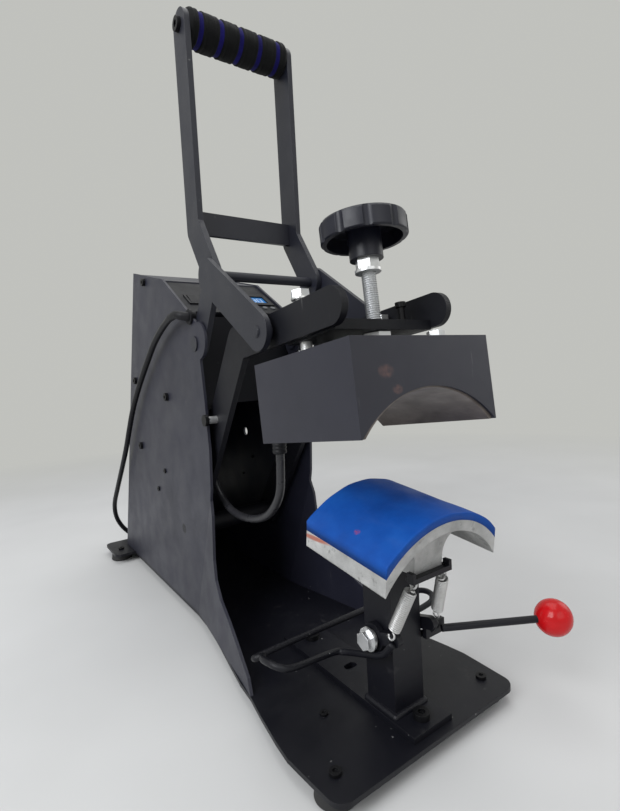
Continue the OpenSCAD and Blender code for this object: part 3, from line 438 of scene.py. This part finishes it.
M = {
    "coat": powder_coat("coat_black", (0.0165, 0.0172, 0.0295), 0.44, 0.8),
    "base": powder_coat("coat_base", (0.005, 0.0052, 0.0085), 0.42, 1.0, worn=0.1, shine=0.3),
    "bar": powder_coat("coat_bars", (0.0125, 0.0135, 0.0215), 0.42, 0.45, worn=0.08),
    # The arms' coat is the same black powder coat, made darker to paint the shade that falls on the arms.
    "arm": powder_coat("coat_arms_painted_shade", (0.0075, 0.0078, 0.011), 0.45, 0.45, shine=0.26),
    # The inner parts' coat is the same black powder coat, made darker to paint the shade that falls inside
    # the frame.
    "dark": powder_coat("coat_inside_painted_shade", (0.0065, 0.0068, 0.0095), 0.48, 0.5, shine=0.22),
    "head": head_paint("coat_head"),
    "zinc": plated("zinc_bright", (0.74, 0.75, 0.76), 0.3, 0.2),
    "spring": plated("spring_steel", (0.62, 0.62, 0.62), 0.36, 0.1),
    "thread": plated("thread_zinc", (0.6, 0.61, 0.62), 0.45, 0.05),
    "oxide": moulded("black_oxide", (0.0045, 0.0045, 0.0055), 0.38, 900, 0.1, shine=0.2),
    "plastic": moulded("knob_black", (0.0075, 0.0082, 0.0155), 0.36, 1300, 0.15, shine=0.38),
    "soft_plastic": moulded("fitting_black", (0.010, 0.010, 0.012), 0.48, shine=0.22),
    "rubber": moulded("foot_rubber", (0.02, 0.02, 0.02), 0.72, 700, 0.3, 0.001),
    "cord": moulded("cord_skin", (0.006, 0.006, 0.008), 0.32, 900, 0.12, 0, 0.2),
    "lead": moulded("lead_sleeve", (0.022, 0.022, 0.025), 0.3, 900, 0.25, 0, 0.4),
    "red": moulded("ball_red", (0.56, 0.007, 0.010), 0.2, 400, 0.04, 0, 0.3),
    "window": moulded("window_blue", (0.02, 0.2, 0.55), 0.18, 600, 0.02, 0.0004),
    "digits": moulded("digit_pale", (0.62, 0.78, 0.95), 0.3, 600, 0.02, 0),
    "keys": moulded("key_grey", (0.12, 0.125, 0.13), 0.5),
    "alloy": cast_alloy("cast_alloy", (0.56, 0.56, 0.55)),
    "silicone": silicone("silicone_blue"),
    "foam": foam("foam_black", (0.006, 0.0063, 0.0066)),
    "foam_blue": foam("foam_blue", (0.009, 0.007, 0.1)),
    "element": scorched("element_face"),
    "fibre": moulded("fibre_board", (0.6, 0.56, 0.45), 0.85, 300, 0.5, 0),
    "brass": plated("plug_brass", (0.75, 0.6, 0.3), 0.28, 0.1),
}

PAINT = {
    "coat": ("side_plate_left", "side_plate_right", "rear_cover", "top_cover"),
    "base": ("base_plate", "foot_plate", "post", "spring_bar", "hub_left", "hub_right", "lever_rod"),
    "bar": ("handle_bar_left", "handle_bar_right", "handle_cross_bar", "knee_shaft", "link_left",
            "link_right", "link_pins", "handle_pins"),
    "arm": ("arm_left", "arm_right", "arm_pivot_shaft"),
    "dark": ("control_box", "control_panel", "cross_plate", "arm_tube"),
    "head": ("head_cover",),
    "zinc": ("grip_rod", "arm_bolts", "head_studs", "guide_bolts",
             "thrust_nut", "lock_nut", "hold_down_bolt"),
    "oxide": ("cabinet_screw_set", "grip_screws", "foot_plate_bolts", "stop_screw"),
    "plastic": ("pressure_knob",),
    "soft_plastic": ("display_bezel", "power_switch", "cable_glands", "head_gland", "plug_body"),
    "rubber": ("rubber_feet",),
    "red": ("lever_ball",),
    "window": ("display_window",),
    "keys": ("panel_keys",),
    "alloy": ("platen_casting",),
    "element": ("heating_element",),
    "fibre": ("insulation_pad",),
    "brass": ("plug_pins",),
}


def paint(obj, material):
    obj.data.materials.clear()
    obj.data.materials.append(material)
    return obj


for key, names in PAINT.items():
    for name in names:
        paint(nodes[name], M[key])


# Mains cord: the route of the construction, then three turns of coil and the tail to the plug

CORD_R = 0.0038
CORD_ROUTE = [
    (-60, -52, 362), (-69, -52, 362), (-75.5, -48, 363.5), (-78, -38, 365.5), (-78, -22, 364.5),
    (-77.5, -2, 360), (-77, 22, 352.5), (-76.5, 48, 341.5), (-76, 69, 330), (-76, 95, 313.5),
    (-76, 124, 294), (-76, 157, 269), (-76, 180, 248), (-76, 203, 223), (-76, 232, 191),
    (-76, 272, 153), (-76, 312, 116), (-76, 342, 86), (-73, 358, 62), (-66, 365, 42),
    (-54, 366, 24), (-38, 365.5, 10.5), (-20, 364, 4.2), (4, 362, 4),
]
TAIL_ROUTE = [
    (50, 366.4, 12), (64, 369, 11.2), (76, 374.5, 10.8), (86, 381, 10.9), (94, 384, 11), (98.5, 384, 11),
]
COIL_MID = (32, 408)
COIL_TURNS = [(46.6, 4), (37.4, 4), (42, 12.4)]
COIL_STEPS = 22
EASE_FROM = 0.62
SHORTEST_STEP = 0.0015


def coil_points():
    """Three turns, each easing to the next radius and height near its end."""
    out = []
    last = len(COIL_TURNS) - 1
    for t, here in enumerate(COIL_TURNS):
        after = COIL_TURNS[min(t + 1, last)]
        for k in range(COIL_STEPS):
            u = k / COIL_STEPS
            ease = min(1, max(0, (u - EASE_FROM) / (1 - EASE_FROM)))
            ease = ease * ease * (3 - 2 * ease)
            r = here[0] + (after[0] - here[0]) * ease
            z = here[1] + (after[1] - here[1]) * ease
            w = -math.pi / 2 + 2 * math.pi * u
            out.append((COIL_MID[0] + r * math.cos(w), COIL_MID[1] + r * math.sin(w), z))
    out.append((COIL_MID[0], COIL_MID[1] - COIL_TURNS[last][0], COIL_TURNS[last][1]))
    return out


def add_cord():
    first = smooth_route(CORD_ROUTE + coil_points()[:2], 4)[:-4]
    rest = smooth_route(coil_points() + TAIL_ROUTE, 3)
    path = metres(first + rest)
    keep = [path[0]]
    for p in path[1:]:
        if np.linalg.norm(p - keep[-1]) > SHORTEST_STEP:
            keep.append(p)
    data = bpy.data.curves.new("mains_flex", "CURVE")
    data.dimensions = "3D"
    spline = data.splines.new("POLY")
    spline.points.add(len(keep) - 1)
    for point, p in zip(spline.points, keep):
        point.co = (*p, 1)
    data.bevel_depth = CORD_R
    data.bevel_resolution = 4
    data.use_fill_caps = True
    obj = link(bpy.data.objects.new("mains_flex", data))
    obj.data.materials.append(M["cord"])
    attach(obj, "frame")
    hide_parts("mains_cord", "cord_coil")


add_cord()


def add_boot():
    """Moulded elbow boot that holds the cord where it leaves the cabinet, with a groove every third point."""
    path = metres(smooth_route(CORD_ROUTE[1:5], 8))
    path = [path[0] + np.array((0.002, 0, 0))] + path
    last = len(path) - 1
    radii = []
    for i in range(len(path)):
        u = i / last
        groove = 0.0002 if 0.2 < u < 0.9 and i % 3 == 0 else 0
        radii.append(0.0050 - 0.0008 * u - groove)
    obj = tube("cord_boot", path, radii, 28)
    paint(obj, M["soft_plastic"])
    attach(obj, "frame")


add_boot()


# Heater lead: one sleeved cable from the control box to the head

LEAD_ROUTE = [
    (-44, -22, 263), (-44, -22, 235), (-44, -24, 205), (-44, -34, 175), (-44, -56, 156), (-44, -86, 148),
    (-44, -122, 150), (-44, -156, 162), (-44, -178, 184), (-44, -183.4, 210), (-44, -184, 233),
]


def add_lead():
    """The sleeve is slightly uneven along its length."""
    path = metres(smooth_route(LEAD_ROUTE, 14))
    radii = [0.0039 + 0.00008 * math.sin(i * 1.9) for i in range(len(path))]
    obj = tube("lead_sleeve", path, radii, 24)
    paint(obj, M["lead"])
    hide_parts("heater_lead")
    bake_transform(obj)


add_lead()


def add_lead_boot():
    """Rubber boot under the head's gland, open below, in which the lead moves as the head slides."""
    place = Matrix.Translation((-0.044, -0.184, 0.2235))
    tall, inner, outer, groove = 0.0165, 0.0052, 0.0064, 0.0059
    ring = [(inner, 0), (0.0060, 0.0004), (outer, 0.0014)]
    for k in range(4):
        foot = 0.003 + 0.003 * k
        ring += [(outer, foot), (groove, foot + 0.0006), (groove, foot + 0.0014), (outer, foot + 0.002)]
    ring += [(outer, tall), (inner, tall), (inner, 0)]
    obj = lathe("lead_boot", ring, place, 48)
    paint(obj, M["soft_plastic"])
    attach(obj, "head")


add_lead_boot()


# Bail wire and springs

BAIL = [
    (24.3, -297, 88), (24.3, -286, 75), (24.3, -266, 66), (24.3, -240, 56), (34, -233, 56), (77, -240, 64),
    (88, -237, 67), (92, -229, 68), (92, -218, 66), (87, -208, 62), (78, -200, 59),
]
BAIL_R = 0.0028


def add_bail():
    """The bail is the same on both sides of the press."""
    half = metres(BAIL)
    left = [p * np.array((-1, 1, 1)) for p in half]
    path = smooth_route(left + half[::-1], 8)
    obj = tube("bail", path, [BAIL_R] * len(path))
    paint(obj, M["base"])
    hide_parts("bail_wire")
    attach(obj, "hold_down")


add_bail()


SPRING_TOP = np.array((0.016, -0.314, 0.1385))
SPRING_LOW = np.array((0.025, -0.297, 0.0945))
SPRING_WIRE, SPRING_COIL, SPRING_TURNS = 0.0008, 0.0042, 22
STEPS_PER_TURN = 16
HOOK_POINTS = 15
HOOK_TURN = 1.45
HOOK_REACH, HOOK_SIZE = 0.005187, 0.003003


def hook_points(centre, d, other, first, last):
    """Points round an open hook, from the first to the last number of half turns."""
    out = []
    for k in range(HOOK_POINTS):
        w = math.pi * (first + (last - first) * k / (HOOK_POINTS - 1))
        out.append(centre + HOOK_SIZE * (math.sin(w) * other * 0.9 - math.cos(w) * d))
    return out


def add_springs():
    """Two closed coil springs with hooks, mirror images of each other."""
    length = float(np.linalg.norm(SPRING_LOW - SPRING_TOP))
    d = (SPRING_LOW - SPRING_TOP) / length
    side = np.array((1.0, 0, 0)) - d[0] * d
    side /= np.linalg.norm(side)
    other = np.cross(d, side)
    start, end = 0.0065, length - 0.0055
    path = hook_points(SPRING_TOP + d * (start - HOOK_REACH), d, other, HOOK_TURN, 0)
    steps = SPRING_TURNS * STEPS_PER_TURN
    for k in range(steps + 1):
        u = k / steps
        w = 2 * math.pi * SPRING_TURNS * u
        r = SPRING_COIL * min(1, u * 26 + 0.15, (1 - u) * 26 + 0.15)
        middle = SPRING_TOP + d * (start + (end - start) * u)
        path.append(middle + r * (math.cos(w) * side + math.sin(w) * other))
    path += hook_points(SPRING_TOP + d * (end + HOOK_REACH), d, other, 0, HOOK_TURN)
    for sign, name in ((1, "spring_right"), (-1, "spring_left")):
        mirror = np.array((sign, 1, 1))
        obj = tube(name, [p * mirror for p in path], [SPRING_WIRE] * len(path), 8)
        paint(obj, M["spring"])
        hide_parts("hold_down_springs")
        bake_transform(obj)


add_springs()


# Pressure screw with a real thread

def add_thread():
    """One start thread as a single skin, from the thrust nut up to the lock nut."""
    low, high, pitch = 0.0678, 0.150, 0.00175
    crest, root, flat = 0.00598, 0.00505, 0.12
    sides, rings_per_turn = 48, 8
    rings = int((high - low) / pitch * rings_per_turn)
    verts, faces = [], []
    for i in range(rings + 1):
        z = low + (high - low) * i / rings
        for k in range(sides):
            w = 2 * math.pi * k / sides
            phase = ((z - low) / pitch - k / sides) % 1.0
            t = abs(2 * phase - 1)
            t = min(1, max(0, (t - flat) / (1 - 2 * flat)))
            r = root + (crest - root) * t
            verts.append(HEAD @ Vector((r * math.cos(w), SCREW_Y + r * math.sin(w), z)))
    for i in range(rings):
        for k in range(sides):
            m = (k + 1) % sides
            faces.append((i * sides + k, i * sides + m, (i + 1) * sides + m, (i + 1) * sides + k))
    faces.append(tuple(range(sides)))
    faces.append(tuple(rings * sides + k for k in range(sides)))
    obj = mesh_object("screw_thread", verts, faces)
    paint(obj, M["thread"])
    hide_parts("pressure_screw")
    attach(obj, "knob")


add_thread()


# Foam grip

def add_grip():
    """Foam tube with rounded ends and five sunk blue bands, each between two shallow dents."""
    place = Matrix.Translation((0, -0.070, 0.653)) @ Matrix.Rotation(math.pi / 2, 4, "Y")
    half, bore, outer, rounding = 0.057, 0.0101, 0.0179, 0.004
    bands, band, slope = [-0.045, -0.0225, 0, 0.0225, 0.045], 0.0025, 0.0007
    slices = 380

    def radius(h):
        r = outer
        edge = half - abs(h)
        if edge < rounding:
            r -= 0.0022 * (1 - edge / rounding) ** 2
        near = min(abs(h - b) for b in bands)
        if near < band + slope:
            r -= 0.0012 * min(1, (band + slope - near) / slope)
        for b in bands:
            r -= 0.0003 * math.exp(-((abs(h - b) - 0.0065) / 0.0012) ** 2)
        return r

    heights = [-half + 2 * half * i / slices for i in range(slices + 1)]

    def wobble(r, h, w):
        if r < 0.012:
            return r
        return r + 0.00025 * math.sin(3 * w + 40 * h) + 0.00015 * math.sin(7 * w - 90 * h)

    profile = [(bore, -half)] + [(radius(h), h) for h in heights] + [(bore, half)]
    obj = lathe("grip_foam", profile, place, 96, wobble)
    obj.data.materials.append(M["foam"])
    obj.data.materials.append(M["foam_blue"])
    back = place.inverted()
    for p in obj.data.polygons:
        h = (back @ p.center).z
        if min(abs(h - b) for b in bands) < band:
            p.material_index = 1
    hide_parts("foam_grip")
    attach(obj, "handle")


add_grip()


# Silicone pad

def add_pad():
    """Sponge sheet bent over the platen, with cut edges that swell and sag a little."""
    half_width, depth, inner, outer, centre = 0.058, 0.090, 0.0781, 0.0839, -0.084
    along, across = 90, 120
    verts, faces = [], []

    def wave(a, y):
        return 0.00018 * math.sin(9 * a + 61 * y) + 0.00014 * math.sin(23 * a - 140 * y)

    def ring(i, r, cut):
        y = -depth / 2 + depth * i / along
        y = max(-depth / 2 + cut, min(depth / 2 - cut, y))
        out = []
        edge = math.asin((half_width - cut) / r)
        for k in range(across + 1):
            a = -edge + 2 * edge * k / across
            rr = r + (wave(a, y) if r > 0.081 else 0)
            out.append(PLATEN @ Vector((rr * math.sin(a), y, centre + rr * math.cos(a))))
        return out

    layers = [(inner, 0.0), (outer - 0.0009, 0.0), (outer - 0.00025, 0.0003), (outer, 0.0009)]
    n = across + 1
    for r, cut in layers:
        for i in range(along + 1):
            verts += ring(i, r, cut)
    size = n * (along + 1)

    def v(layer, i, k):
        return layer * size + i * n + k

    for i in range(along):
        for k in range(across):
            faces.append((v(3, i, k), v(3, i, k + 1), v(3, i + 1, k + 1), v(3, i + 1, k)))
            faces.append((v(0, i, k), v(0, i + 1, k), v(0, i + 1, k + 1), v(0, i, k + 1)))
    for layer in range(3):
        for i in range(along):
            for k in (0, across):
                faces.append((v(layer, i, k), v(layer, i + 1, k), v(layer + 1, i + 1, k), v(layer + 1, i, k)))
        for k in range(across):
            for i in (0, along):
                faces.append((v(layer, i, k), v(layer, i, k + 1), v(layer + 1, i, k + 1), v(layer + 1, i, k)))
    obj = mesh_object("pad_sponge", verts, faces)
    clean_mesh(obj.data, 2e-5)
    paint(obj, M["silicone"])
    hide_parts("silicone_pad")
    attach(obj, "frame")


add_pad()


# Display digits

def add_digits():
    """Three plain seven-segment digits on the display window."""
    panel = Matrix.Translation((0, -0.040, 0.372)) @ Matrix.Rotation(math.atan2(46, 71), 4, "X")
    wide, tall, stroke = 0.0058, 0.0105, 0.0011
    gap, advance, first_x, first_y, back, front = 0.0004, 0.0088, 0.0285, 0.0332, -0.003, -0.0027
    half, upper, lower = wide / 2, tall * 0.75, tall * 0.25
    segments = {
        "top": (0, tall, wide, stroke),
        "middle": (0, tall / 2, wide, stroke),
        "bottom": (0, 0, wide, stroke),
        "up_left": (-half, upper, stroke, tall / 2),
        "up_right": (half, upper, stroke, tall / 2),
        "low_left": (-half, lower, stroke, tall / 2),
        "low_right": (half, lower, stroke, tall / 2),
    }
    lit = [
        ("up_right", "low_right"),
        ("top", "up_left", "middle", "low_left", "low_right", "bottom", "up_right"),
        ("top", "up_left", "up_right", "low_left", "low_right", "bottom"),
    ]
    verts, faces = [], []
    for place, names in enumerate(lit):
        for name in names:
            x, y, w, h = segments[name]
            x += first_x + advance * place
            y += first_y
            first = len(verts)
            for z in (back, front):
                for dx, dy in ((-1, -1), (1, -1), (1, 1), (-1, 1)):
                    verts.append(panel @ Vector((x + dx * (w - gap) / 2, y + dy * (h - gap) / 2, z)))
            for quad in ((0, 1, 2, 3), (4, 5, 6, 7), (0, 1, 5, 4), (1, 2, 6, 5), (2, 3, 7, 6), (3, 0, 4, 7)):
                faces.append(tuple(first + q for q in quad))
    obj = mesh_object("display_digits", verts, faces, False)
    paint(obj, M["digits"])
    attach(obj, "frame")


add_digits()


OUTER_FACE_X = 0.0665


def black_heads():
    """The stop bolts are black outside the side plates and plated inside."""
    mesh = nodes["arm_bolts"].data
    mesh.materials.append(M["oxide"])
    for p in mesh.polygons:
        if abs(p.center.x) > OUTER_FACE_X:
            p.material_index = 1


black_heads()


# Stage: pale floor and wall, soft light

WALL = (0.53, 0.535, 0.51, 1)
FLOOR_HALF = 6
FADE_SPAN = 4.0


def seen_ray(tree):
    """One for rays from the camera, from gloss and through clear material, else zero."""
    path = add(tree, "ShaderNodeLightPath")
    seen = path.outputs["Is Camera Ray"]
    for kind in ("Is Glossy Ray", "Is Transmission Ray"):
        either = add(tree, "ShaderNodeMath", operation="MAXIMUM")
        tree.links.new(seen, either.inputs[0])
        tree.links.new(path.outputs[kind], either.inputs[1])
        seen = either.outputs[0]
    return seen


def stage_material():
    """Pale floor that fades into the wall's colour away from the object."""
    material, tree, shader = new_material("stage_pale")
    v = coords(tree)
    tone = ramp(tree, noise(tree, v, 3, 3), [(0.3, (0.60, 0.60, 0.585)), (0.7, (0.66, 0.66, 0.645))])
    tree.links.new(tone, shader.inputs["Base Color"])
    shader.inputs["Roughness"].default_value = 0.9
    far = add(tree, "ShaderNodeEmission", Strength=1.0)
    far.inputs["Color"].default_value = WALL
    reach = add(tree, "ShaderNodeVectorMath", operation="LENGTH")
    tree.links.new(v, reach.inputs[0])
    part = add(tree, "ShaderNodeMath", operation="DIVIDE")
    part.inputs[1].default_value = FADE_SPAN
    tree.links.new(reach.outputs["Value"], part.inputs[0])
    fade = ramp(tree, part.outputs[0], [(0.19, grey(0)), (0.42, grey(1))])
    seen = mix(tree, 1.0, fade, seen_ray(tree), "MULTIPLY")
    choose = add(tree, "ShaderNodeMixShader")
    tree.links.new(seen, choose.inputs[0])
    tree.links.new(shader.outputs[0], choose.inputs[1])
    tree.links.new(far.outputs[0], choose.inputs[2])
    tree.links.new(choose.outputs[0], tree.nodes["Material Output"].inputs["Surface"])
    return material


CORNERS = ((-1, -1), (1, -1), (1, 1), (-1, 1))
floor = mesh_object("floor", [(x * FLOOR_HALF, y * FLOOR_HALF, 0) for x, y in CORNERS], [(0, 1, 2, 3)], False)
paint(floor, stage_material())


def add_area(name, at, look, size, power, tint=(1, 1, 1)):
    """A rectangular lamp at one point that faces another."""
    data = bpy.data.lights.new(name, "AREA")
    data.shape = "RECTANGLE"
    data.size, data.size_y = size
    data.energy = power
    data.color = tint
    obj = link(bpy.data.objects.new(name, data))
    obj.location = at
    obj.rotation_euler = (Vector(look) - Vector(at)).to_track_quat("-Z", "Y").to_euler()


add_area("key", (-1.7, -0.5, 1.5), (0, 0, 0.25), (1.4, 1.4), 38, (0.95, 0.97, 1.0))
add_area("front", (-0.2, -2.0, 1.3), (0, 0, 0.25), (1.6, 1.2), 6)
add_area("top", (0.2, 0.1, 2.2), (0, 0, 0.2), (1.8, 1.8), 17)
add_area("right", (1.8, -0.6, 1.0), (0, 0, 0.25), (1.0, 1.2), 5)


def add_world():
    """A plain grey light on the object, and the wall's colour for the camera and for gloss."""
    world = bpy.data.worlds.new("world")
    bpy.context.scene.world = world
    world.use_nodes = True
    tree = world.node_tree
    light = tree.nodes["Background"]
    light.inputs["Color"].default_value = (0.595, 0.61, 0.65, 1)
    light.inputs["Strength"].default_value = 0.55
    wall = add(tree, "ShaderNodeBackground", Strength=1.0)
    wall.inputs["Color"].default_value = WALL
    choose = add(tree, "ShaderNodeMixShader")
    tree.links.new(seen_ray(tree), choose.inputs[0])
    tree.links.new(light.outputs[0], choose.inputs[1])
    tree.links.new(wall.outputs[0], choose.inputs[2])
    tree.links.new(choose.outputs[0], tree.nodes["World Output"].inputs["Surface"])


add_world()
bpy.context.scene.view_settings.view_transform = "Standard"
